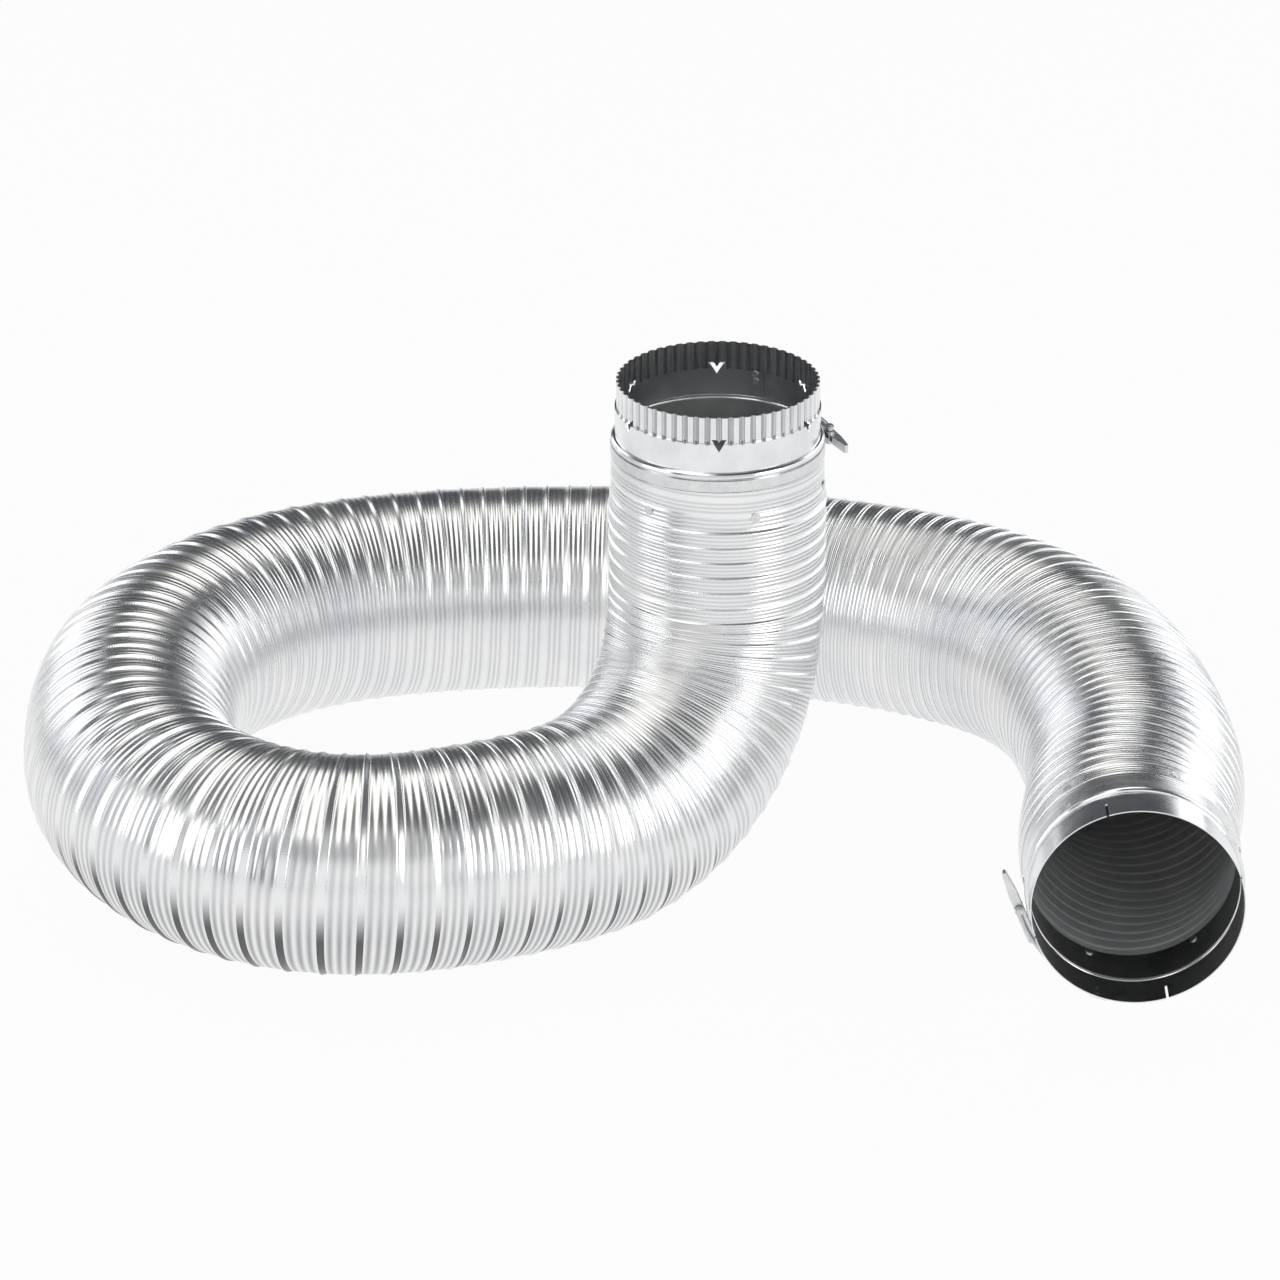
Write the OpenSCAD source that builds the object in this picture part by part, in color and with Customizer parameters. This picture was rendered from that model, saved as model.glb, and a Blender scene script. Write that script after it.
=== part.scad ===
// Flexible aluminium air duct, nominal 100 mm (4 in): a semi-rigid ribbed hose that lies in a loop,
// with a crimped collar on its upright end and a plain slotted collar on its other end.
// Each collar is riveted into the hose's flattened end and carries a band clamp that a toggle lever closes.
// Millimetres, +Z up, origin on the floor under the middle of the loop.

/* [Hose] */
// Diameter over the ribs
hose_od = 108; // [106:1:112]
// Height of a rib from valley to crest
rib_depth = 1.7; // [1:0.1:2.4]
// Thickness of the wall under the ribs
hose_wall = 1.4; // [1:0.1:1.6]
// Distance from rib to rib near the plain collar
mouth_pitch = 9.2; // [8.4:0.2:11]
// Distance from rib to rib where the hose is drawn out round the loop
drawn_pitch = 13; // [11:0.5:16]
// Distance from rib to rib in the neck, where the hose is pushed together
neck_pitch = 8.4; // [7.6:0.2:10]
// Depth of the flat that the ribs stand on
footing = 0.5; // [0.3:0.1:0.8]

/* [Collars] */
// Inside diameter of the plain collar, which goes over a pipe
mouth_id = 102; // [101:0.2:103]
// Outside diameter of the crimped spigot, which goes into a pipe
spigot_od = 100.8; // [99:0.2:101.4]
// Thickness of the collars' sheet
sheet = 0.6; // [0.5:0.1:0.8]
// Length of the smooth spigot between its bead and its crimps
spigot_length = 14; // [10:1:18]
// Length of the crimped stretch
crimp_length = 14; // [10:1:20]
// Depth of one crimp
crimp_depth = 1.2; // [0.8:0.1:1.4]
// How far the crests of the crimps lie inside the smooth spigot's surface
crimp_inset = 0.7; // [0.6:0.1:1]
// Number of crimps round the spigot
crimp_count = 56; // [44:2:60]
// Distance from the rim of the plain collar to its bead
mouth_depth = 21; // [18:0.5:30]
// Length of the slits in the plain collar's rim
slit_length = 12; // [8:1:13]
// Height of the beads
bead_height = 1.5; // [1:0.1:1.8]
// Width of the beads
bead_width = 3.5; // [3:0.1:4]

/* [Joint of hose and collar] */
// Length of the hose's flattened end
cuff_length = 19; // [16:1:24]
// Thickness of the flattened end
cuff_wall = 0.6; // [0.5:0.1:0.8]
// Number of rivets round each end
rivet_count = 6; // [4:1:8]
// Radius of a rivet's shank
rivet_r = 1.6; // [1.2:0.1:2]

/* [Clamps] */
// Width of the clamp band
band_width = 5.5; // [5:0.1:6.5]
// Thickness of the clamp band
band_t = 0.8; // [0.6:0.1:1]
// Length of the lever from its pivot to its tip
lever_length = 38.5; // [34:0.5:42]
// Width of the lever along the duct
lever_width = 4; // [3.8:0.1:5]
// Depth of the lever's channel
lever_depth = 4.4; // [4:0.1:5]
// Thickness of the lever's sheet
lever_t = 0.8; // [0.6:0.1:0.9]
// Distance between the lever's pivot and the loop's pivot
link = 17.5; // [14:0.5:19]
// Radius of both pivot pins
pin_r = 1; // [0.8:0.1:1.1]
// Radius of the loop's wire
wire_r = 0.9; // [0.7:0.1:1]

/* [Hidden] */
$fn = 96;
foil = [0.80, 0.81, 0.82];
tin = [0.70, 0.71, 0.72];
steel = [0.62, 0.63, 0.65];

// Clearances: between the pieces of one end, and of a pin in the hole that it turns or sits in
seat_gap = 0.2;
pin_gap = 0.05;
press_gap = 0.01;

// The hose's centre line runs smoothly along these points: across the floor, then how high above lying flat
route = [
    [245, -160, 0], [245, -135, 0], [250, -105, 0], [255, -70, 0], [250, -20, 0], [240, 40, 0],
    [205, 105, 0], [125, 145, 0], [40, 165, 0], [-50, 165, 0], [-140, 155, 0], [-210, 115, 0],
    [-250, 45, 0], [-250, -25, 0], [-245, -80, 0], [-210, -135, 0], [-160, -165, 0], [-105, -165, 0],
    [-55, -145, 0], [-10, -120, 0], [20, -90, 15], [40, -60, 45], [45, -50, 85], [45, -50, 105],
    [45, -50, 130], [45, -50, 150]];
axis_height = hose_od / 2 - footing;
steps = 12;
sides = 8;
crest_r = hose_od / 2;
valley_r = crest_r - rib_depth;
bore_r = valley_r - hose_wall;

function last(list) = list[len(list) - 1];
function unit(v) = v / norm(v);
function raised(p) = [p.x, p.y, p.z + axis_height];

// A cubic B-spline along the route, with one more point past each end so that it starts and stops on the route
control = [
    2 * raised(route[0]) - raised(route[1]),
    for (p = route) raised(p),
    2 * raised(last(route)) - raised(route[len(route) - 2])];
function spline_point(i, t) =
    (pow(1 - t, 3) * control[i] + (3 * pow(t, 3) - 6 * t * t + 4) * control[i + 1]
    + (1 + 3 * t + 3 * t * t - 3 * pow(t, 3)) * control[i + 2] + pow(t, 3) * control[i + 3]) / 6;
function spline_heading(i, t) =
    unit((2 * t - t * t - 1) * control[i] + (3 * t * t - 4 * t) * control[i + 1]
    + (1 + 2 * t - 3 * t * t) * control[i + 2] + t * t * control[i + 3]);
segments = len(control) - 3;
line = [for (i = [0:segments - 1], k = [0:steps - 1]) spline_point(i, k / steps),
    spline_point(segments - 1, 1)];
heading = [for (i = [0:segments - 1], k = [0:steps - 1]) spline_heading(i, k / steps),
    spline_heading(segments - 1, 1)];
travel = [for (i = 0, s = 0; i < len(line); i = i + 1,
    s = s + (i < len(line) ? norm(line[i] - line[i - 1]) : 0)) s];
hose_length = last(travel);

// Place and direction at a distance along the hose
line_tables = [for (axis = [0:2]) [for (i = [0:len(line) - 1]) [travel[i], line[i][axis]]]];
heading_tables = [for (axis = [0:2]) [for (i = [0:len(line) - 1]) [travel[i], heading[i][axis]]]];
function point_at(s) = [for (axis = [0:2]) lookup(s, line_tables[axis])];
function heading_at(s) = unit([for (axis = [0:2]) lookup(s, heading_tables[axis])]);

// Ribs: the pitch changes along the hose, and a station lies in each valley and on each crest
pitch_along = [[0, mouth_pitch], [0.28, mouth_pitch], [0.5, drawn_pitch], [0.82, drawn_pitch],
    [0.92, neck_pitch]];
function pitch_at(s) = lookup(s / hose_length, pitch_along);
rough_stations = [for (s = 0; s < hose_length + drawn_pitch; s = s + pitch_at(s) / 2) s];
rib_count = floor((len(rough_stations) - 1) / 2);
stations = [for (i = [0:2 * rib_count]) rough_stations[i] * hose_length / rough_stations[2 * rib_count]];
points_at = [for (s = stations) point_at(s)];
headings_at = [for (s = stations) heading_at(s)];
normals_at = [for (i = 0, n = [0, 0, 1]; i < len(stations); i = i + 1,
    n = i < len(stations) ? unit(n - headings_at[i] * (n * headings_at[i])) : n) n];

function ring(i, flat_r) = [for (k = [0:sides - 1])
    let (a = (k + 0.5) * 360 / sides, r = flat_r / cos(180 / sides))
    points_at[i] + r * (cos(a) * normals_at[i] + sin(a) * cross(headings_at[i], normals_at[i]))];

// The runs of the hose end in valleys: the first valley past each share of the length
function valley_past(share) = 2 * floor(len([for (s = stations) if (s < share * hose_length) s]) / 2);
right_end = valley_past(0.24);
rear_end = valley_past(0.5);
left_end = valley_past(0.68);
front_end = valley_past(1 - 44 / hose_length);
hose_end = 2 * rib_count;

// The flattened end lies a little outside the ribs' valleys, and the collars' bodies fit into it
press_out = 0.1;
cuff_r = valley_r + press_out;
body_r = cuff_r - cuff_wall - seat_gap;
mouth_r = mouth_id / 2 + sheet;
spigot_r = spigot_od / 2;
crimp_r = spigot_r - crimp_inset;

// Places along a collar, from the end of the ribs outward
collar_inset = 1;
rivet_place = 5;
seam_rivet_r = 0.9;
band_place = cuff_length + 0.5 + band_width / 2;
bead_place = band_place + band_width / 2 + 0.5 + bead_width / 2;
upper_smooth_end = bead_place + bead_width / 2 + spigot_length;
upper_rim = upper_smooth_end + crimp_length;
lower_rim = bead_place + bead_width / 2 + mouth_depth;

// Where the ends' details lie round the axis, counted from +X as seen from outside
upper_rivet_angle = 50;
lower_rivet_angle = 8;
upper_seam_angle = 67;
lower_seam_angle = 250;
lance_angle = 30;
slit_angle = 18;
window_angle = 129;
upper_clamp_angle = 32;
lower_clamp_angle = 212;

module at_upper_end() {
    translate(last(line)) children();
}

module at_lower_end() {
    translate(line[0]) rotate([90, 0, 0]) children();
}

module around(count, first = 0) {
    for (k = [0:count - 1]) rotate([0, 0, first + k * 360 / count]) children();
}

module arc_plate(r_in, r_out, first, last, width) {
    rotate([0, 0, first]) translate([0, 0, -width / 2])
        rotate_extrude(angle = last - first) translate([r_in, 0]) square([r_out - r_in, width]);
}

// A round bar that points outward from the axis, between two radii
module radial_bar(r, from_r, to_r) {
    translate([from_r, 0, 0]) rotate([0, 90, 0]) cylinder(r = r, h = to_r - from_r, $fn = 32);
}

// Hose

module hose_run(first, last) {
    outer = [for (i = [first:last]) ring(i, i % 2 == 1 ? crest_r : valley_r)];
    inner = [for (i = [first:2:last]) ring(i, bore_r)];
    rings = concat(outer, inner);
    start = len(outer);
    function corner(i, k) = i * sides + k % sides;
    function quad(a, b, c, d) = [[a, b, c], [a, c, d]];
    skin = [for (i = [0:len(outer) - 2], k = [0:sides - 1])
        each quad(corner(i, k), corner(i + 1, k), corner(i + 1, k + 1), corner(i, k + 1))];
    bore = [for (i = [start:len(rings) - 2], k = [0:sides - 1])
        each quad(corner(i, k), corner(i, k + 1), corner(i + 1, k + 1), corner(i + 1, k))];
    near_end = [for (k = [0:sides - 1])
        each quad(corner(0, k), corner(0, k + 1), corner(start, k + 1), corner(start, k))];
    far_end = [for (k = [0:sides - 1])
        each quad(corner(start - 1, k + 1), corner(start - 1, k),
            corner(len(rings) - 1, k), corner(len(rings) - 1, k + 1))];
    polyhedron([for (r = rings) each r], concat(skin, bore, near_end, far_end));
}

// A run that lies on the floor is cut flat there
module lying_run(first, last) {
    color(foil) difference() {
        hose_run(first, last);
        translate([-hose_length, -hose_length, -hose_od]) cube([2 * hose_length, 2 * hose_length, hose_od]);
    }
}

module hose_right_turn() { lying_run(0, right_end); }
module hose_rear_run() { lying_run(right_end, rear_end); }
module hose_left_turn() { lying_run(rear_end, left_end); }
module hose_front_run() { lying_run(left_end, front_end); }
module hose_neck() { color(foil) hose_run(front_end, hose_end); }

// The flattened end of the hose, with the holes for its rivets
module cuff(rivet_angle) {
    color(foil) difference() {
        arc_ring(body_r + seat_gap, cuff_r, 0, cuff_length);
        translate([0, 0, rivet_place]) around(rivet_count, rivet_angle)
            radial_bar(rivet_r + press_gap, body_r - 1, cuff_r + 1);
    }
}

module arc_ring(r_in, r_out, low, high) {
    translate([0, 0, low]) difference() {
        cylinder(r = r_out, h = high - low);
        translate([0, 0, -1]) cylinder(r = r_in, h = high - low + 2);
    }
}

// Low rivets: a flat head outside and a thin upset end inside
module end_rivets(rivet_angle) {
    head_r = 1.5 * rivet_r;
    color(steel) translate([0, 0, rivet_place]) around(rivet_count, rivet_angle) union() {
        radial_bar(rivet_r, body_r - sheet - 0.3, cuff_r + 0.3);
        radial_bar(head_r, cuff_r + 0.02, cuff_r + 0.6);
        radial_bar(1.3 * rivet_r, body_r - sheet - 0.5, body_r - sheet - 0.1);
    }
}

// Collars

// Half-round bead in a sheet's profile, from the lower radius to the upper one
function bead(place, width, height, low_r, high_r) = [for (i = [0:6])
    [low_r + (high_r - low_r) * i / 6 + height * sin(30 * i), place - width / 2 * cos(30 * i)]];

module beaded_sheet(low_r, high_r, rim) {
    outer = concat([[low_r, collar_inset]], bead(bead_place, bead_width, bead_height, low_r, high_r),
        [[high_r, rim]]);
    inner = concat([[low_r - sheet, collar_inset]],
        bead(bead_place, bead_width - 1.2 * sheet, bead_height, low_r - sheet, high_r - sheet),
        [[high_r - sheet, rim]]);
    rotate_extrude() polygon(concat(outer, [for (i = [len(inner) - 1:-1:0]) inner[i]]));
}

// Outline of the crimps, as seen along the axis, at a depth below the sheet's outer face
module crimp_outline(depth) {
    groove_r = crimp_depth + 0.2;
    difference() {
        circle(r = crimp_r - depth);
        around(crimp_count) translate([crimp_r + groove_r - crimp_depth, 0])
            circle(r = groove_r + depth, $fn = 24);
    }
}

// The crimps, with the shoulder that closes each one at its lower end
module crimped_ring() {
    linear_extrude(height = crimp_length) difference() {
        crimp_outline(0);
        crimp_outline(sheet);
    }
    linear_extrude(height = sheet) difference() {
        circle(r = spigot_r);
        crimp_outline(sheet);
    }
}

// V-shaped opening lanced through the sheet at the crimps' lower ends, its point towards the hose
module lance() {
    below = 3.4;
    height = 6.2;
    inner_corner = below + sheet + 0.3;
    translate([spigot_r - 3, 0, upper_smooth_end - below]) rotate([0, 90, 0]) linear_extrude(height = 6)
        polygon([[0, 0], [-height, -3.6], [-height, -1.2], [-inner_corner, 0], [-height, 1.2],
            [-height, 3.6]]);
}

module seam_strip(r_in, r_out, angle, low, high) {
    translate([0, 0, (low + high) / 2]) arc_plate(r_in, r_out, angle - 5, angle + 5, high - low);
}

module crimped_collar() {
    color(tin) at_upper_end() difference() {
        union() {
            beaded_sheet(body_r, spigot_r, upper_smooth_end);
            translate([0, 0, upper_smooth_end]) crimped_ring();
            seam_strip(spigot_r - 2 * sheet, spigot_r - sheet / 2, upper_seam_angle,
                upper_smooth_end - spigot_length + 0.5, upper_smooth_end - 0.5);
        }
        around(6, lance_angle) lance();
        translate([0, 0, rivet_place]) around(rivet_count, upper_rivet_angle)
            radial_bar(rivet_r + press_gap, body_r - 2, body_r + 1);
        crimped_seam_places() radial_bar(seam_rivet_r + press_gap, spigot_r - 3, spigot_r + 1);
    }
}

module crimped_seam_places() {
    for (down = [2.2, 5.8]) translate([0, 0, upper_smooth_end - down]) rotate([0, 0, upper_seam_angle])
        children();
}

module crimped_collar_seam_rivets() {
    color(steel) at_upper_end() crimped_seam_places() union() {
        radial_bar(seam_rivet_r, spigot_r - 2 * sheet - 0.3, spigot_r);
        radial_bar(1.6, spigot_r - 2 * sheet - 0.7, spigot_r - 2 * sheet - 0.05);
    }
}

module plain_collar() {
    color(tin) at_lower_end() difference() {
        union() {
            beaded_sheet(body_r, mouth_r, lower_rim);
            seam_strip(mouth_r - sheet / 2, mouth_r + sheet, lower_seam_angle,
                lower_rim - slit_length, lower_rim);
        }
        translate([0, 0, lower_rim]) around(4, slit_angle)
            translate([mouth_r - 2, -0.6, -slit_length]) cube([4, 1.2, slit_length + 1]);
        translate([0, 0, rivet_place]) around(rivet_count, lower_rivet_angle)
            radial_bar(rivet_r + press_gap, body_r - 2, body_r + 1);
        plain_seam_places() radial_bar(seam_rivet_r + press_gap, mouth_r - 2, mouth_r + 2);
        band_window();
    }
}

// Square window through the plain collar and its band, for the tab of the pipe's collar
module band_window() {
    translate([0, 0, band_place]) rotate([0, 0, window_angle])
        translate([body_r - 2, -1.6, -1.6]) cube([5, 3.2, 3.2]);
}

module plain_seam_places() {
    for (down = [3, 9]) translate([0, 0, lower_rim - down]) rotate([0, 0, lower_seam_angle]) children();
}

module plain_collar_seam_rivets() {
    color(steel) at_lower_end() plain_seam_places() union() {
        radial_bar(seam_rivet_r, mouth_r - sheet, mouth_r + sheet + 0.3);
        radial_bar(1.6, mouth_r + sheet + 0.05, mouth_r + sheet + 0.7);
    }
}

// Clamps: built round the collar's axis with the lever's pivot on +X, and the lever closed clockwise from it

band_r = body_r + seat_gap;
plate_r = band_r + band_t;
plate_t = 0.8;
lever_lean = 10;
pivot_r = (plate_r + plate_t + 0.8 + lever_depth / 2) / cos(lever_lean);
loop_pivot = [pivot_r - link * sin(lever_lean), -link * cos(lever_lean)];
loop_r = norm(loop_pivot);
loop_start = atan2(loop_pivot.y, loop_pivot.x);
head_h = 0.3;
arm_offset = lever_width / 2 + head_h + 0.3 + wire_r;
tongue_t = lever_width - 2 * lever_t - 0.6;
lip_angle = 21;
lip_t = 1;
catch_gap = 1.6;
bar_r = wire_r + 0.1;
bar_angle = lip_angle + (lip_t / 2 + catch_gap + bar_r) / loop_r * 180 / PI;
bracket_rivet_angles = [-13, -7];
catch_rivet_angle = bar_angle + 6;
clamp_rivet_r = 0.9;

module at_upper_clamp() {
    at_upper_end() translate([0, 0, band_place]) rotate([0, 0, upper_clamp_angle]) children();
}

module at_lower_clamp() {
    at_lower_end() translate([0, 0, band_place]) rotate([0, 0, lower_clamp_angle]) children();
}

module clamp_rivet_places() {
    for (a = concat(bracket_rivet_angles, [catch_rivet_angle])) rotate([0, 0, a]) children();
}

// The band's two ends face each other under the lever's pivot
module clamp_band() {
    color(tin) difference() {
        arc_plate(band_r, plate_r, lip_angle - 5, 364, band_width);
        clamp_rivet_places() radial_bar(clamp_rivet_r + press_gap, band_r - 1, plate_r + 1);
    }
}

module clamp_rivets() {
    color(steel) clamp_rivet_places() union() {
        radial_bar(clamp_rivet_r, band_r, plate_r + plate_t + 0.2);
        radial_bar(1.4, plate_r + plate_t + 0.02, plate_r + plate_t + 0.5);
    }
}

// Riveted plate with one upright tongue, which the lever's pin goes through
module lever_bracket() {
    tongue_r = 2;
    color(tin) difference() {
        union() {
            arc_plate(plate_r, plate_r + plate_t, -17, 3.5, band_width);
            translate([plate_r + plate_t / 2, -tongue_r, -tongue_t / 2])
                cube([pivot_r - plate_r - plate_t / 2, 2 * tongue_r, tongue_t]);
            translate([pivot_r, 0, -tongue_t / 2]) cylinder(r = tongue_r, h = tongue_t, $fn = 48);
        }
        translate([pivot_r, 0, -tongue_t]) cylinder(r = pin_r + pin_gap, h = 2 * tongue_t, $fn = 32);
        for (a = bracket_rivet_angles) rotate([0, 0, a])
            radial_bar(clamp_rivet_r + press_gap, plate_r - 1, plate_r + 2);
    }
}

// Riveted plate with an upright lip; the loop's bar hooks behind it
module catch() {
    color(tin) difference() {
        union() {
            arc_plate(plate_r, plate_r + plate_t, lip_angle - 3, catch_rivet_angle + 3.5, band_width);
            rotate([0, 0, lip_angle]) translate([plate_r + plate_t / 2, -lip_t / 2, -band_width / 2 + 0.3])
                cube([loop_r + 1.6 - plate_r - plate_t / 2, lip_t, band_width - 0.6]);
        }
        rotate([0, 0, catch_rivet_angle]) radial_bar(clamp_rivet_r + press_gap, plate_r - 1, plate_r + 2);
    }
}

// Channel folded from sheet, open towards the band, with a tapered tip
module lever() {
    taper = 12;
    tip_r = 1.1;
    half = lever_depth / 2;
    color(steel) translate([pivot_r, 0, 0]) rotate([0, 0, -90 - lever_lean]) difference() {
        translate([0, 0, -lever_width / 2]) linear_extrude(height = lever_width) union() {
            circle(r = half, $fn = 48);
            translate([0, -half]) square([lever_length - taper, lever_depth]);
            polygon([[lever_length - taper - 0.1, -half], [lever_length - tip_r, -tip_r],
                [lever_length - tip_r, tip_r], [lever_length - taper - 0.1, half]]);
            translate([lever_length - tip_r, 0]) circle(r = tip_r, $fn = 32);
        }
        translate([-half - 1, -half - 1, -lever_width / 2 + lever_t])
            cube([lever_length - taper + half, lever_depth + 1 - lever_t, lever_width - 2 * lever_t]);
        translate([-half - 1, -half - 1, -lever_width / 2 + lever_t])
            cube([half + 5.5, lever_depth + 3, lever_width - 2 * lever_t]);
        for (x = [0, link]) translate([x, 0, -lever_width])
            cylinder(r = pin_r + press_gap, h = 2 * lever_width, $fn = 32);
    }
}

module lever_pin() {
    color(steel) translate([pivot_r, 0, 0]) union() {
        translate([0, 0, -lever_width / 2 - head_h / 2])
            cylinder(r = pin_r, h = lever_width + head_h, $fn = 32);
        for (side = [-1, 1]) translate([0, 0, side * (lever_width / 2 + head_h / 2 + 0.01) - head_h / 2])
            cylinder(r = 1.5 * pin_r, h = head_h, $fn = 32);
    }
}

eye_r = 2.1;
loop_pin_half = arm_offset + wire_r + 0.15;

module loop_pin() {
    color(steel) translate(loop_pivot) union() {
        translate([0, 0, -loop_pin_half]) cylinder(r = pin_r, h = 2 * loop_pin_half, $fn = 32);
        for (side = [-1, 1]) translate([0, 0, side * (loop_pin_half + 0.2) - 0.2])
            cylinder(r = 1.6 * pin_r, h = 0.4, $fn = 32);
    }
}

// Wire loop: two arms bent round the collar, an eye on each, and the bar that hooks behind the catch
module wire_loop() {
    eye_start = loop_start + asin((eye_r - 0.4) / loop_r);
    color(steel) difference() {
        union() {
            for (side = [-1, 1]) translate([0, 0, side * arm_offset]) {
                rotate([0, 0, eye_start]) rotate_extrude(angle = bar_angle - eye_start)
                    translate([loop_r, 0]) circle(r = wire_r, $fn = 32);
                translate([loop_pivot.x, loop_pivot.y, -wire_r])
                    cylinder(r = eye_r, h = 2 * wire_r, $fn = 48);
            }
            rotate([0, 0, bar_angle]) translate([loop_r, 0, -arm_offset - wire_r])
                cylinder(r = bar_r, h = 2 * (arm_offset + wire_r), $fn = 32);
        }
        translate([loop_pivot.x, loop_pivot.y, -2 * arm_offset])
            cylinder(r = pin_r + pin_gap, h = 4 * arm_offset, $fn = 32);
    }
}

// The pieces at the upper end

module upper_cuff() { at_upper_end() cuff(upper_rivet_angle); }
module upper_end_rivets() { at_upper_end() end_rivets(upper_rivet_angle); }
module upper_clamp_band() { at_upper_clamp() clamp_band(); }
module upper_lever_bracket() { at_upper_clamp() lever_bracket(); }
module upper_catch() { at_upper_clamp() catch(); }
module upper_band_rivets() { at_upper_clamp() clamp_rivets(); }
module upper_lever() { at_upper_clamp() lever(); }
module upper_lever_pin() { at_upper_clamp() lever_pin(); }
module upper_loop_pin() { at_upper_clamp() loop_pin(); }
module upper_loop() { at_upper_clamp() wire_loop(); }

// The pieces at the lower end, where the band shares the collar's square window

module lower_cuff() { at_lower_end() cuff(lower_rivet_angle); }
module lower_end_rivets() { at_lower_end() end_rivets(lower_rivet_angle); }
module lower_clamp_band() {
    difference() {
        at_lower_clamp() clamp_band();
        at_lower_end() band_window();
    }
}
module lower_lever_bracket() { at_lower_clamp() lever_bracket(); }
module lower_catch() { at_lower_clamp() catch(); }
module lower_band_rivets() { at_lower_clamp() clamp_rivets(); }
module lower_lever() { at_lower_clamp() lever(); }
module lower_lever_pin() { at_lower_clamp() lever_pin(); }
module lower_loop_pin() { at_lower_clamp() loop_pin(); }
module lower_loop() { at_lower_clamp() wire_loop(); }

hose_right_turn();
hose_rear_run();
hose_left_turn();
hose_front_run();
hose_neck();
upper_cuff();
upper_end_rivets();
crimped_collar();
crimped_collar_seam_rivets();
upper_clamp_band();
upper_lever_bracket();
upper_catch();
upper_band_rivets();
upper_lever();
upper_lever_pin();
upper_loop_pin();
upper_loop();
lower_cuff();
lower_end_rivets();
plain_collar();
plain_collar_seam_rivets();
lower_clamp_band();
lower_lever_bracket();
lower_catch();
lower_band_rivets();
lower_lever();
lower_lever_pin();
lower_loop_pin();
lower_loop();
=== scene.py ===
import math

import bpy
import numpy as np
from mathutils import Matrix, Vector


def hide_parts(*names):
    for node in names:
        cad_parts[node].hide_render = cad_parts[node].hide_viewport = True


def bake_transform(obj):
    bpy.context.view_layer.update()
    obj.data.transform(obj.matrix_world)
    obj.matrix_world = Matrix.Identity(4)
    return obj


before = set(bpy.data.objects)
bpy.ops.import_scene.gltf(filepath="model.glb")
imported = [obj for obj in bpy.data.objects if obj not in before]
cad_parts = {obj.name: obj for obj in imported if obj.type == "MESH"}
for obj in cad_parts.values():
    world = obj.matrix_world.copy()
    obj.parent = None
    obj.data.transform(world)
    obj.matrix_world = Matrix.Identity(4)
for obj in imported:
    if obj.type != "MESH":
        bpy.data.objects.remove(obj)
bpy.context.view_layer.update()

# ---------------------------------------------------------------------------
# Camera
# A long lens from in front of the loop and a little above it, so that both
# open ends show and the hose hardly narrows towards the back.
# ---------------------------------------------------------------------------

look_at = Vector((0.007, 0.007, 0.0945))
look_down = math.radians(24.7)
look_from = 3.267

camera_data = bpy.data.cameras.new("camera")
camera_data.sensor_width = 36
camera_data.lens = 181.7
camera_data.clip_start = 0.05
camera_data.clip_end = 60
camera = bpy.data.objects.new("camera", camera_data)
camera.location = look_at + look_from * Vector((0, -math.cos(look_down), math.sin(look_down)))
camera.rotation_euler = (look_at - camera.location).to_track_quat("-Z", "Y").to_euler()
bpy.context.scene.collection.objects.link(camera)
bpy.context.scene.camera = camera

# ---------------------------------------------------------------------------
# Hose
# One aluminium strip, ribbed and finely embossed, wound into a tube. Each turn
# locks into the last with a folded seam. The ends are pressed flat over the
# collars, and the loop keeps the bends that hands gave it.
# ---------------------------------------------------------------------------

mm = 0.001
hose_r = 54 * mm
crest_r = 53.94 * mm
ribs_r = 53.1 * mm
rib_height = 0.22 * mm
lining_r = 51.7 * mm
lying_height = 53.5 * mm
floor_gap = 0.05 * mm
dent_share = 0.7
cuff_length = 19 * mm
cuff_r = 52.38 * mm
cuff_sink = 0.12 * mm
cuff_inner_r = 51.85 * mm
mouth_pitch = 9.2 * mm
drawn_pitch = 13 * mm
neck_pitch = 8.4 * mm
even_pitch = 11.5 * mm
hose_route = [
    (245, -160, 0), (245, -135, 0), (250, -105, 0), (255, -70, 0), (250, -20, 0), (240, 40, 0),
    (205, 105, 0), (125, 145, 0), (40, 165, 0), (-50, 165, 0), (-140, 155, 0), (-210, 115, 0),
    (-250, 45, 0), (-250, -25, 0), (-245, -80, 0), (-210, -135, 0), (-160, -165, 0), (-105, -165, 0),
    (-55, -145, 0), (-10, -120, 0), (20, -90, 15), (40, -60, 45), (45, -50, 85), (45, -50, 105),
    (45, -50, 130), (45, -50, 150),
]


def smooth_line(route, steps):
    """Points of the cubic B-spline that starts and ends on the route's own ends."""
    p = np.array(route, float) * mm + (0, 0, lying_height)
    p = np.vstack([2 * p[0] - p[1], p, 2 * p[-1] - p[-2]])
    t = np.linspace(0, 1, steps, endpoint=False)[:, None]
    line = [
        ((1 - t) ** 3 * p[i] + (3 * t**3 - 6 * t**2 + 4) * p[i + 1]
         + (1 + 3 * t + 3 * t**2 - 3 * t**3) * p[i + 2] + t**3 * p[i + 3]) / 6
        for i in range(len(p) - 3)
    ]
    return np.vstack(line + [p[-2:-1]])


def unit(v):
    """The vectors at a length of one."""
    return v / np.linalg.norm(v, axis=-1, keepdims=True)


ribbed_line = smooth_line(hose_route, steps=40)
mouth_end = ribbed_line[0] + (0, -cuff_length, 0)
neck_end = ribbed_line[-1] + (0, 0, cuff_length)
line = np.vstack([mouth_end, ribbed_line, neck_end])
travel = np.concatenate([[0], np.cumsum(np.linalg.norm(np.diff(line, axis=0), axis=1))])
ribs_start = cuff_length
ribs_end = travel[-2]
hose_length = travel[-1]
heading = unit(np.gradient(line, travel, axis=0))
bend = np.gradient(heading, travel, axis=0)
side_on = np.empty_like(heading)
carried = np.array([0.0, 0.0, 1.0])
for i, h in enumerate(heading):
    carried = carried - h * (carried @ h)
    carried = carried / np.linalg.norm(carried)
    side_on[i] = carried
across = np.cross(heading, side_on)


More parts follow.
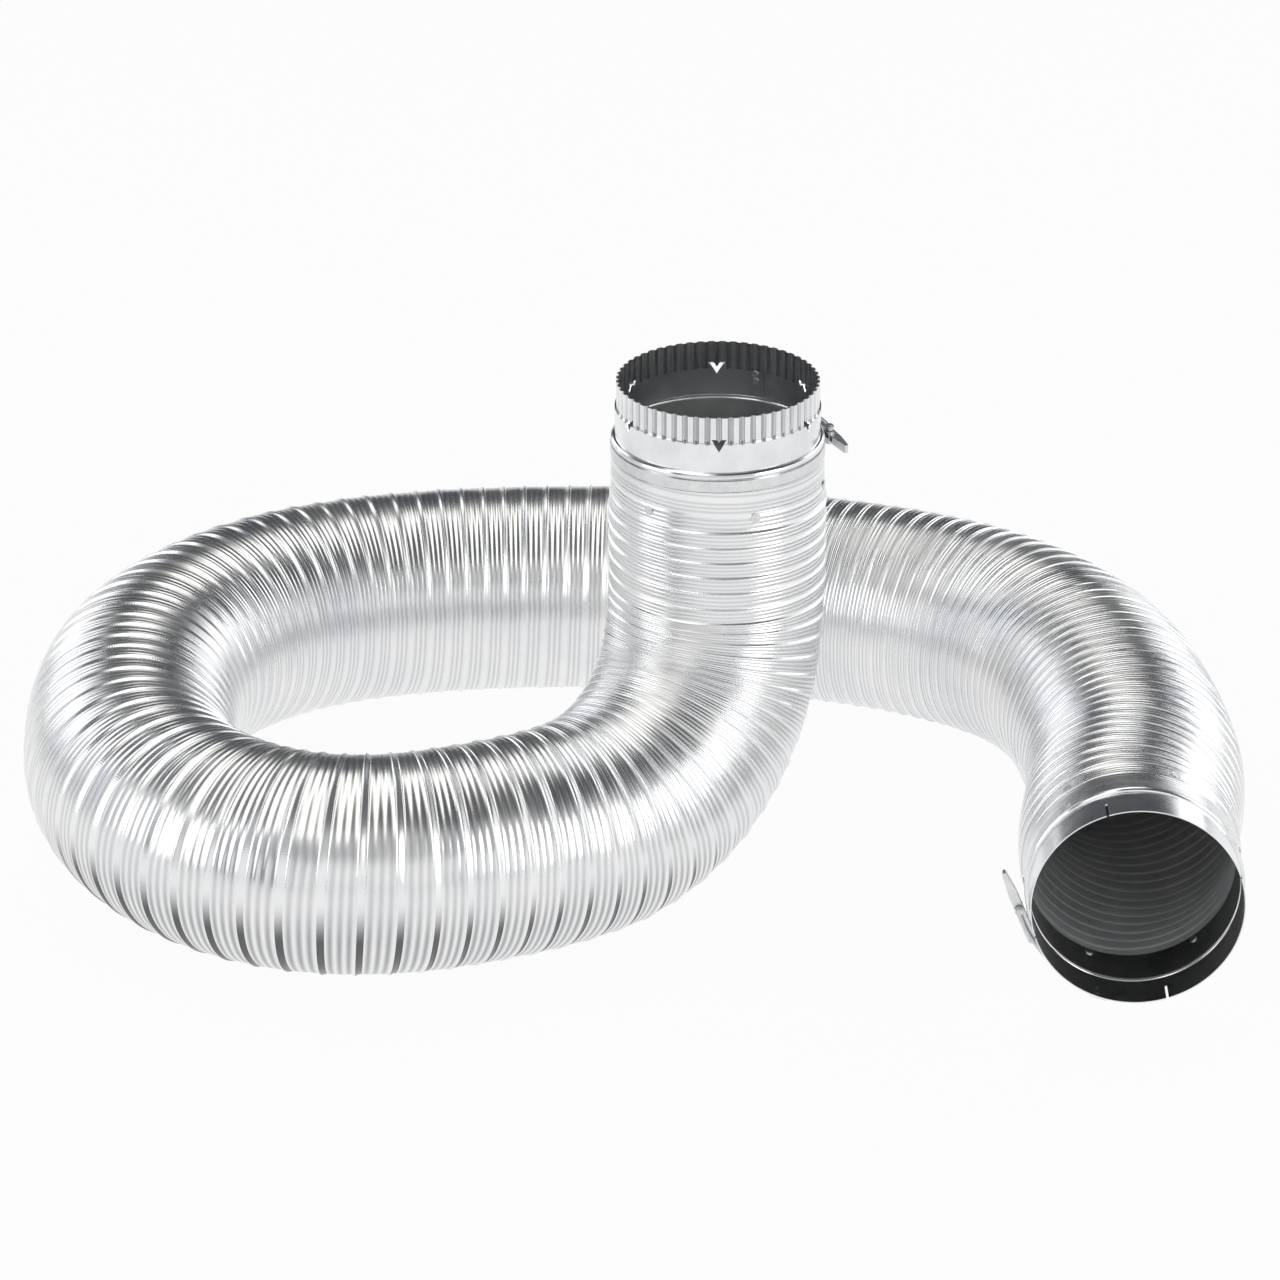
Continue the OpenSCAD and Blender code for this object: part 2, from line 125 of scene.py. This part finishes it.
def at(s, values):
    """The values along the line, read at the distances s."""
    return np.stack([np.interp(s, travel, values[:, k]) for k in range(3)], axis=-1)


# The turns lie closer together where the hose was pushed up, and never quite evenly.
pitch_share = [0, 0.28, 0.5, 0.82, 0.92, 1]
pitch_there = [mouth_pitch, mouth_pitch, drawn_pitch, drawn_pitch, neck_pitch, neck_pitch]
fine_steps = 6000
fine_s = np.linspace(0, hose_length, fine_steps)
fine_pitch = np.interp(fine_s / hose_length, pitch_share, pitch_there)
fine_pitch = fine_pitch * (1 + 0.05 * np.sin(fine_s * 71 + 1) + 0.04 * np.sin(fine_s * 163))
turns_along = np.concatenate([[0], np.cumsum(np.diff(fine_s) / fine_pitch[:-1])])
turn_count = turns_along[-1]


def fade(x):
    """Zero up to 0 and one from 1 on, with a smooth step between."""
    x = np.clip(x, 0, 1)
    return x * x * (3 - 2 * x)


# Cross-section of the strip: where each point lies across it, then the fold's and the rib's height there.
# The folded seam slopes from its high edge to its low one, and three narrow grooves run beside it.
seam_share = 0.26
seam_fold = [
    (0, 0), (0.04, 0.4), (0.08, 0.64), (0.15, 0.66), (0.3, 0.46), (0.47, 0.21), (0.64, -0.04), (0.81, -0.29),
    (0.88, -0.32), (0.95, -0.12),
]
groove_count = 3
groove_points = 8
strip = [(x * seam_share, fold, 1) for x, fold in seam_fold]
for groove in range(groove_count):
    for k in range(groove_points):
        x = (groove + k / groove_points) / groove_count
        height = 0.5 + 0.5 * math.cos(2 * math.pi * k / groove_points)
        strip.append((seam_share + x * (1 - seam_share), 0, height))


def wound_skin(profile, columns, radius_of):
    """Grid that follows the winding: one row for each point of the strip's cross-section in each turn."""
    per_turn = len(profile)
    rows = int(math.ceil((turn_count + 1) * per_turn)) + 1
    row = np.arange(rows)[:, None]
    column = np.arange(columns)[None, :]
    shape = np.array(profile)[np.arange(rows) % per_turn]
    phase = row // per_turn + shape[:, 0:1]
    s = np.interp(phase - column / columns, turns_along, fine_s)
    angle = 2 * math.pi * column / columns + np.zeros_like(s)
    out = np.cos(angle)[..., None] * at(s, side_on) + np.sin(angle)[..., None] * at(s, across)
    stretch = 1 - hose_r * np.sum(at(s, bend) * out, axis=-1)
    drawn = stretch * np.interp(s, fine_s, fine_pitch) / even_pitch
    r = radius_of(s, angle, drawn, shape[:, 1:2], shape[:, 2:3])
    place = at(s, line) + r[..., None] * out
    place[..., 2] = np.maximum(place[..., 2], floor_gap)
    inside = (phase - column / columns > 0) & (phase - column / columns < turn_count)
    return place, inside, phase


def crumple(s, angle):
    """Shallow dents left by handling."""
    dents = (
        0.22 * mm * np.sin(s * 97 + 2 * angle) * np.sin(s * 41 + 3 * angle + 1)
        + 0.16 * mm * np.sin(s * 215 - 4 * angle + 2) * np.sin(s * 67 + 5 * angle)
        + 0.10 * mm * np.sin(s * 530 + 9 * angle) * np.sin(s * 133 - 7 * angle)
    )
    return dent_share * dents


def along_ribs(s, over, beyond=0):
    """One along the ribs, fading to zero over a length inside each end, or beyond it with beyond=1."""
    return fade((s - ribs_start) / over + beyond) * fade((ribs_end - s) / over + beyond)


def outer_radius(s, angle, drawn, fold, rib):
    """Full ribs along the hose, flatter where it is drawn out, and a trace of them on its pressed ends."""
    fold_height = (1.15 + 0.3 * np.clip(1 - drawn, -0.3, 0.5)) * mm
    full = ribs_r + crumple(s, angle) + fold * fold_height + rib * rib_height
    full = np.minimum(full, crest_r)
    trace = 0.6 * mm * fold + 0.3 * mm * rib
    flat = cuff_r - cuff_sink + trace * along_ribs(s, over=17 * mm, beyond=1)
    return flat + (full - flat) * along_ribs(s, over=4 * mm)


def inner_radius(s, angle, drawn, fold, rib):
    """The same seam and ribs from inside, a little flatter."""
    full = lining_r + 0.6 * mm * rib + 0.9 * mm * fold + crumple(s, angle)
    return cuff_inner_r + (full - cuff_inner_r) * along_ribs(s, over=5 * mm)


def grid_faces(inside, phase, start, turned_over):
    """Quads between neighbouring rows and columns; the last column meets the first one of the turn before."""
    rows, columns = inside.shape
    per_turn = np.searchsorted(phase[:, 0], 1.0)
    m, j = np.meshgrid(np.arange(rows - 1), np.arange(columns), indexing="ij")
    wrap = j == columns - 1
    next_j = np.where(wrap, 0, j + 1)
    next_m = np.where(wrap, m - per_turn, m)
    real = next_m >= 0
    m, j, next_m, next_j = m[real], j[real], next_m[real], next_j[real]
    corners_m = np.stack([m, m + 1, next_m + 1, next_m], axis=1)
    corners_j = np.stack([j, j, next_j, next_j], axis=1)
    shown = inside[corners_m, corners_j].any(axis=1)
    faces = (corners_m * columns + corners_j + start)[shown]
    m, j = m[shown], j[shown]
    u = np.stack([j, j, j + 1, j + 1], axis=1) / columns
    v = np.stack([phase[m, 0], phase[m + 1, 0], phase[m + 1, 0], phase[m, 0]], axis=1)
    if turned_over:
        faces, u, v = faces[:, ::-1], u[:, ::-1], v[:, ::-1]
    return faces, np.stack([u, v], axis=-1)


outer_columns = 104
inner_columns = 56
inner_steps = 8
inner_strip = [(0, 0, 0), (0.08, 1, 0), (0.18, 1, 0), (seam_share, 0, 0)]
for k in range(1, inner_steps):
    inner_strip.append((seam_share + (1 - seam_share) * k / inner_steps, 0, k % 2))
outer_place, outer_inside, outer_phase = wound_skin(strip, outer_columns, outer_radius)
inner_place, inner_inside, inner_phase = wound_skin(inner_strip, inner_columns, inner_radius)
inner_start = outer_inside.size
lip_start = inner_start + inner_inside.size
outer_faces, outer_uv = grid_faces(outer_inside, outer_phase, 0, turned_over=True)
inner_faces, inner_uv = grid_faces(inner_inside, inner_phase, inner_start, turned_over=False)

# The cut edge of the foil at each end
lip_outer_r = cuff_r - 0.1 * mm
lip_ring = 2 * outer_columns
lip_points = []
lip_faces = []
for end, turn in ((0, 1), (-1, -1)):
    base = lip_start + len(lip_points)
    for k in range(outer_columns):
        a = 2 * math.pi * k / outer_columns
        out = math.cos(a) * side_on[end] + math.sin(a) * across[end]
        lip_points += [line[end] + lip_outer_r * out, line[end] + cuff_inner_r * out]
        corners = [2 * k, 2 * k + 1, (2 * k + 3) % lip_ring, (2 * k + 2) % lip_ring]
        lip_faces.append([base + corner for corner in corners[::turn]])
lip_faces = np.array(lip_faces)

hose_points = np.vstack([outer_place.reshape(-1, 3), inner_place.reshape(-1, 3), np.array(lip_points)])
hose_quads = np.vstack([outer_faces, inner_faces, lip_faces])
hose_uvs = np.vstack([outer_uv.reshape(-1, 2), inner_uv.reshape(-1, 2), np.zeros((len(lip_faces) * 4, 2))])

hose_mesh = bpy.data.meshes.new("hose")
hose_mesh.vertices.add(len(hose_points))
hose_mesh.vertices.foreach_set("co", hose_points.ravel())
hose_mesh.loops.add(hose_quads.size)
hose_mesh.loops.foreach_set("vertex_index", hose_quads.ravel().astype(np.int32))
hose_mesh.polygons.add(len(hose_quads))
hose_mesh.polygons.foreach_set("loop_start", np.arange(0, hose_quads.size, 4, dtype=np.int32))
hose_mesh.polygons.foreach_set("use_smooth", np.ones(len(hose_quads), bool))
winding = hose_mesh.uv_layers.new(name="winding")
winding.data.foreach_set("uv", hose_uvs.astype(np.float32).ravel())
material_of = np.zeros(len(hose_quads), np.int32)
material_of[len(outer_faces):len(outer_faces) + len(inner_faces)] = 1
hose_mesh.polygons.foreach_set("material_index", material_of)
hose_mesh.update(calc_edges=True)
hose_mesh.validate()
hose = bpy.data.objects.new("hose", hose_mesh)
bpy.context.scene.collection.objects.link(hose)


def new_material(name, colour, roughness, metallic=1.0):
    """A material, which is bare metal unless it says otherwise, with its node tree and its shader."""
    material = bpy.data.materials.new(name)
    material.use_nodes = True
    shader = material.node_tree.nodes["Principled BSDF"]
    shader.inputs["Base Color"].default_value = (*colour, 1)
    shader.inputs["Metallic"].default_value = metallic
    shader.inputs["Roughness"].default_value = roughness
    return material, material.node_tree, shader


def add_node(tree, kind, **settings):
    """Adds a node and sets its inputs and its own properties by their names."""
    node = tree.nodes.new(kind)
    for name, value in settings.items():
        if name in node.inputs:
            node.inputs[name].default_value = value
        else:
            setattr(node, name, value)
    return node


def on_piece(tree, kind, **settings):
    """Adds a node that reads the piece's own coordinates, so that its pattern stays on the piece."""
    place = add_node(tree, "ShaderNodeTexCoord")
    node = add_node(tree, kind, **settings)
    tree.links.new(place.outputs["Object"], node.inputs["Vector"])
    return node


def maths(tree, operation, a, b=None):
    """Adds a sum; a and b are numbers or the outputs of other nodes."""
    node = add_node(tree, "ShaderNodeMath", operation=operation)
    for socket, value in zip(node.inputs, (a, b)):
        if isinstance(value, (int, float)):
            socket.default_value = value
        elif value is not None:
            tree.links.new(value, socket)
    return node.outputs[0]


def tint(tree, shader, pattern, dark, light, share=None):
    """Lets the metal's colour drift between two near tones; a share below one darkens it."""
    tones = add_node(tree, "ShaderNodeValToRGB")
    tones.color_ramp.elements[0].position = 0.3
    tones.color_ramp.elements[0].color = (*dark, 1)
    tones.color_ramp.elements[1].position = 0.72
    tones.color_ramp.elements[1].color = (*light, 1)
    tree.links.new(pattern, tones.inputs["Fac"])
    colour = tones.outputs["Color"]
    if share is not None:
        darkened = add_node(tree, "ShaderNodeVectorMath", operation="SCALE")
        tree.links.new(colour, darkened.inputs[0])
        tree.links.new(share, darkened.inputs["Scale"])
        colour = darkened.outputs["Vector"]
    tree.links.new(colour, shader.inputs["Base Color"])


def wear(tree, shader, pattern, smooth, rough):
    """Lets the roughness drift between two values."""
    dull = add_node(tree, "ShaderNodeMapRange", **{"To Min": smooth, "To Max": rough})
    tree.links.new(pattern, dull.inputs["Value"])
    tree.links.new(dull.outputs["Result"], shader.inputs["Roughness"])


def emboss(tree, shader, height, strength, depth):
    """Relief too fine for the mesh."""
    relief = add_node(tree, "ShaderNodeBump", Strength=strength, Distance=depth)
    tree.links.new(height, relief.inputs["Height"])
    tree.links.new(relief.outputs["Normal"], shader.inputs["Normal"])


# Foil: bright rolled aluminium. Fine bars are knurled along the seam, and rows of small dots along the strip.
bars_round = 270
dots_round = 240
dots_across = 9
knurl_share = 0.6
dot_share = 0.12
foil, tree, shader = new_material("foil", (0.86, 0.87, 0.88), 0.3)
wound = add_node(tree, "ShaderNodeUVMap", uv_map="winding")
parts = add_node(tree, "ShaderNodeSeparateXYZ")
tree.links.new(wound.outputs["UV"], parts.inputs["Vector"])
round_turn = parts.outputs["X"]
across_strip = maths(tree, "FRACT", parts.outputs["Y"])
bars = maths(tree, "SINE", maths(tree, "MULTIPLY", round_turn, 2 * math.pi * bars_round))
before_low_edge = maths(tree, "LESS_THAN", across_strip, seam_share * 0.95)
past_high_edge = maths(tree, "GREATER_THAN", across_strip, seam_share * 0.22)
on_seam = maths(tree, "MULTIPLY", before_low_edge, past_high_edge)
dot_round = maths(tree, "SINE", maths(tree, "MULTIPLY", round_turn, 2 * math.pi * dots_round))
dot_across = maths(tree, "SINE", maths(tree, "MULTIPLY", across_strip, 2 * math.pi * dots_across))
dots = maths(tree, "MULTIPLY", dot_round, dot_across)
knurl = maths(tree, "MULTIPLY", maths(tree, "MULTIPLY", bars, on_seam), knurl_share)
embossing = maths(tree, "ADD", knurl, maths(tree, "MULTIPLY", dots, dot_share))
emboss(tree, shader, embossing, strength=0.22, depth=0.06 * mm)
handling = on_piece(tree, "ShaderNodeTexNoise", Scale=26.0, Detail=4.0, Roughness=0.55)
wear(tree, shader, handling.outputs["Fac"], smooth=0.21, rough=0.33)


def below(tree, value, all_from, none_from):
    """One where the value is below the first limit, fading to zero at the second."""
    limits = {"From Min": all_from, "From Max": none_from, "To Min": 1, "To Max": 0}
    node = add_node(tree, "ShaderNodeMapRange", interpolation_type="SMOOTHSTEP", **limits)
    tree.links.new(value, node.inputs["Value"])
    return node.outputs["Result"]


# Painted shade darkens the grooves all along the hose, and more painted shade darkens the knurled seam and
# the grooves where the hose lies low at the front.
groove_turn = 2 * math.pi * groove_count / (1 - seam_share)
past_seam = maths(tree, "SUBTRACT", across_strip, seam_share)
groove_wave = maths(tree, "COSINE", maths(tree, "MULTIPLY", past_seam, groove_turn))
off_seam = maths(tree, "GREATER_THAN", across_strip, seam_share)
in_groove = maths(tree, "MULTIPLY", maths(tree, "SUBTRACT", 1, groove_wave), off_seam)
spot = on_piece(tree, "ShaderNodeSeparateXYZ")
low = below(tree, spot.outputs["Z"], all_from=35 * mm, none_from=60 * mm)
in_front = below(tree, spot.outputs["Y"], all_from=-140 * mm, none_from=-90 * mm)
# Painted shade on the knurled seam and in the grooves, only low at the front.
painted_low_seam_shade = maths(tree, "MULTIPLY", on_seam, 0.85)
painted_low_groove_shade = maths(tree, "MULTIPLY", in_groove, 0.14)
painted_seam_and_groove_shade = maths(tree, "ADD", painted_low_seam_shade, painted_low_groove_shade)
painted_low_shade = maths(tree, "MULTIPLY", painted_seam_and_groove_shade, maths(tree, "MULTIPLY", low, in_front))
# Painted shade in the grooves, all along the hose.
painted_groove_shade = maths(tree, "MULTIPLY", in_groove, 0.12)
# What is left of the foil's colour after all the painted shade.
unshaded_share = maths(tree, "SUBTRACT", 1, maths(tree, "ADD", painted_groove_shade, painted_low_shade))
tint(tree, shader, handling.outputs["Fac"], (0.80, 0.815, 0.84), (0.90, 0.895, 0.885), unshaded_share)

# Inside, the same foil is duller.
lining, tree, shader = new_material("foil_inside", (0.7, 0.71, 0.73), 0.4, metallic=0.7)
grime = on_piece(tree, "ShaderNodeTexNoise", Scale=40.0, Detail=3.0)
tint(tree, shader, grime.outputs["Fac"], (0.80, 0.81, 0.82), (0.92, 0.92, 0.92))

hose_mesh.materials.append(foil)
hose_mesh.materials.append(lining)
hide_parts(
    "hose_right_turn", "hose_rear_run", "hose_left_turn", "hose_front_run", "hose_neck",
    "upper_cuff", "lower_cuff",
)
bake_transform(hose)

# ---------------------------------------------------------------------------
# Collars
# Rolled aluminium sheet. One has a crimped rim with lanced openings, the other
# a plain rim with slits. Both have a bead and a lapped seam.
# ---------------------------------------------------------------------------

collar_sheet, tree, shader = new_material("collar_sheet", (0.78, 0.79, 0.80), 0.24)
rolling = on_piece(tree, "ShaderNodeTexNoise", Scale=55.0, Detail=5.0, Roughness=0.6)
wear(tree, shader, rolling.outputs["Fac"], smooth=0.13, rough=0.26)
# Painted shade darkens the bottoms of the crimps against their crests.
crimp_count = 56
crimps_from = 246.5 * mm
collar_x = float(neck_end[0])
collar_y = float(neck_end[1])
spot = on_piece(tree, "ShaderNodeSeparateXYZ")
beside = maths(tree, "SUBTRACT", spot.outputs["X"], collar_x)
behind = maths(tree, "SUBTRACT", spot.outputs["Y"], collar_y)
round_collar = maths(tree, "ARCTAN2", behind, beside)
crimp_wave = maths(tree, "COSINE", maths(tree, "MULTIPLY", round_collar, crimp_count))
crimped = maths(tree, "GREATER_THAN", spot.outputs["Z"], crimps_from)
painted_crimp_shade = maths(tree, "MULTIPLY", maths(tree, "MAXIMUM", crimp_wave, 0), crimped)
crimp_unshaded_share = maths(tree, "SUBTRACT", 1, maths(tree, "MULTIPLY", painted_crimp_shade, 0.5))
# The collar's own tone, darkened by the painted shade in the crimps.
tint(tree, shader, rolling.outputs["Fac"], (0.71, 0.72, 0.735), (0.87, 0.875, 0.88), crimp_unshaded_share)
emboss(tree, shader, rolling.outputs["Fac"], strength=0.12, depth=0.1 * mm)


def dress(nodes, material):
    """Gives one material to the solids' own meshes."""
    for name in nodes:
        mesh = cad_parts[name].data
        mesh.materials.clear()
        mesh.materials.append(material)


dress(["crimped_collar", "plain_collar"], collar_sheet)

# ---------------------------------------------------------------------------
# Rivets
# Soft aluminium blind rivets hold the hose's ends and the clamps' fittings, and
# clinches close the collars' seams. The tool leaves its marks on each of them.
# ---------------------------------------------------------------------------

rivet_metal, tree, shader = new_material("rivet_metal", (0.70, 0.71, 0.72), 0.34)
tool_marks = on_piece(tree, "ShaderNodeTexNoise", Scale=700.0, Detail=2.0)
tint(tree, shader, tool_marks.outputs["Fac"], (0.58, 0.59, 0.60), (0.78, 0.785, 0.79))
emboss(tree, shader, tool_marks.outputs["Fac"], strength=0.3, depth=0.1 * mm)
dress(
    ["upper_end_rivets", "lower_end_rivets", "crimped_collar_seam_rivets", "plain_collar_seam_rivets",
     "upper_band_rivets", "lower_band_rivets"],
    rivet_metal,
)

# ---------------------------------------------------------------------------
# Band clamps
# Thin plated steel strip with a riveted bracket and catch, and a lever folded
# into a channel.
# ---------------------------------------------------------------------------

clamp_strip, tree, shader = new_material("clamp_strip", (0.72, 0.725, 0.73), 0.26)
plating = on_piece(tree, "ShaderNodeTexNoise", Scale=180.0, Detail=4.0, Roughness=0.6)
wear(tree, shader, plating.outputs["Fac"], smooth=0.2, rough=0.4)
tint(tree, shader, plating.outputs["Fac"], (0.64, 0.645, 0.65), (0.79, 0.795, 0.80))
dimples = on_piece(tree, "ShaderNodeTexVoronoi", Scale=900.0)
emboss(tree, shader, dimples.outputs["Distance"], strength=0.25, depth=0.1 * mm)
for end in ("upper", "lower"):
    dress([end + "_clamp_band", end + "_lever_bracket", end + "_catch", end + "_lever"], clamp_strip)

# ---------------------------------------------------------------------------
# Pins and wire loops
# The loops and the pins of lever and loop are drawn steel wire, cut, bent and
# plated, with fine marks from drawing.
# ---------------------------------------------------------------------------

drawn_wire, tree, shader = new_material("drawn_wire", (0.60, 0.61, 0.62), 0.3)
draw_marks = on_piece(tree, "ShaderNodeTexNoise", Scale=400.0, Detail=3.0)
tint(tree, shader, draw_marks.outputs["Fac"], (0.52, 0.53, 0.54), (0.67, 0.68, 0.69))
emboss(tree, shader, draw_marks.outputs["Fac"], strength=0.15, depth=0.1 * mm)
for end in ("upper", "lower"):
    dress([end + "_lever_pin", end + "_loop_pin", end + "_loop"], drawn_wire)

# ---------------------------------------------------------------------------
# Table
# A wide, plain table top under the duct. It shows white to the eye and in the
# metal, and the rest of its tone comes from the light that falls on it.
# ---------------------------------------------------------------------------

table_r = 8
table_sides = 64
table_drop = 0.2 * mm
white_share = 0.95
table_mesh = bpy.data.meshes.new("table")
turns = np.linspace(0, 2 * math.pi, table_sides, endpoint=False)
edge = [(table_r * math.cos(a), table_r * math.sin(a), 0) for a in turns]
table_mesh.from_pydata(edge, [], [list(range(table_sides))])
table = bpy.data.objects.new("table", table_mesh)
table.location.z = -table_drop
bpy.context.scene.collection.objects.link(table)
white, tree, shader = new_material("table_white", (0.62, 0.65, 0.69), 0.7, metallic=0.0)
plain_light = add_node(tree, "ShaderNodeEmission", Strength=1.0)
seen = add_node(tree, "ShaderNodeLightPath")
seen_or_mirrored = maths(tree, "MAXIMUM", seen.outputs["Is Camera Ray"], seen.outputs["Is Glossy Ray"])
seen_at_all = maths(tree, "MAXIMUM", seen_or_mirrored, seen.outputs["Is Transmission Ray"])
share = maths(tree, "MULTIPLY", seen_at_all, white_share)
both = add_node(tree, "ShaderNodeMixShader")
tree.links.new(share, both.inputs["Fac"])
tree.links.new(shader.outputs["BSDF"], both.inputs[1])
tree.links.new(plain_light.outputs["Emission"], both.inputs[2])
tree.links.new(both.outputs["Shader"], tree.nodes["Material Output"].inputs["Surface"])
table_mesh.materials.append(white)

# ---------------------------------------------------------------------------
# Studio light
# Large soft boxes stand round the duct: a low and a high one in front, one
# overhead and three at each side. The metal mirrors the dim room between them.
# ---------------------------------------------------------------------------

lamps_face = Vector((0, 0, 0.08))
plain_white = (1.0, 1.0, 1.0)
cool_white = (0.98, 0.99, 1.0)
creamy_white = (1.0, 0.99, 0.97)
warm_white = (1.0, 0.985, 0.95)
room_colour = (0.80, 0.87, 0.94, 1)
room_strength = 0.09


def soft_box(name, centre, width, height, power, colour):
    """A rectangular lamp that faces the duct and stays out of the camera's sight."""
    lamp = bpy.data.lights.new(name, "AREA")
    lamp.shape = "RECTANGLE"
    lamp.size = width
    lamp.size_y = height
    lamp.energy = power
    lamp.color = colour
    box = bpy.data.objects.new(name, lamp)
    box.location = centre
    box.rotation_euler = (lamps_face - Vector(centre)).to_track_quat("-Z", "Y").to_euler()
    box.visible_camera = False
    bpy.context.scene.collection.objects.link(box)


soft_box("box_left", (-2.1, -0.95, 0.9), 1.2, 1.5, 13, plain_white)
soft_box("box_right", (1.85, -1.30, 0.9), 1.0, 1.5, 17, creamy_white)
soft_box("wall_left", (-2.4, 0.3, 1.0), 2.4, 1.9, 9, cool_white)
soft_box("wall_right", (2.4, 0.3, 1.0), 2.4, 1.9, 14, cool_white)
soft_box("back_left", (-1.7, 1.75, 0.95), 1.4, 1.5, 11, cool_white)
soft_box("back_right", (1.7, 1.75, 0.95), 1.4, 1.5, 12, cool_white)
soft_box("box_overhead", (-0.4, 0.15, 2.1), 3.8, 1.1, 22, warm_white)
soft_box("box_front", (0.0, -3.3, 0.95), 5.0, 1.75, 25, plain_white)
soft_box("box_high", (0.0, -2.1, 2.2), 4.0, 1.5, 8, plain_white)

world = bpy.data.worlds.new("room")
world.use_nodes = True
world.node_tree.nodes["Background"].inputs["Color"].default_value = room_colour
world.node_tree.nodes["Background"].inputs["Strength"].default_value = room_strength
bpy.context.scene.world = world
bpy.context.scene.view_settings.view_transform = "Standard"
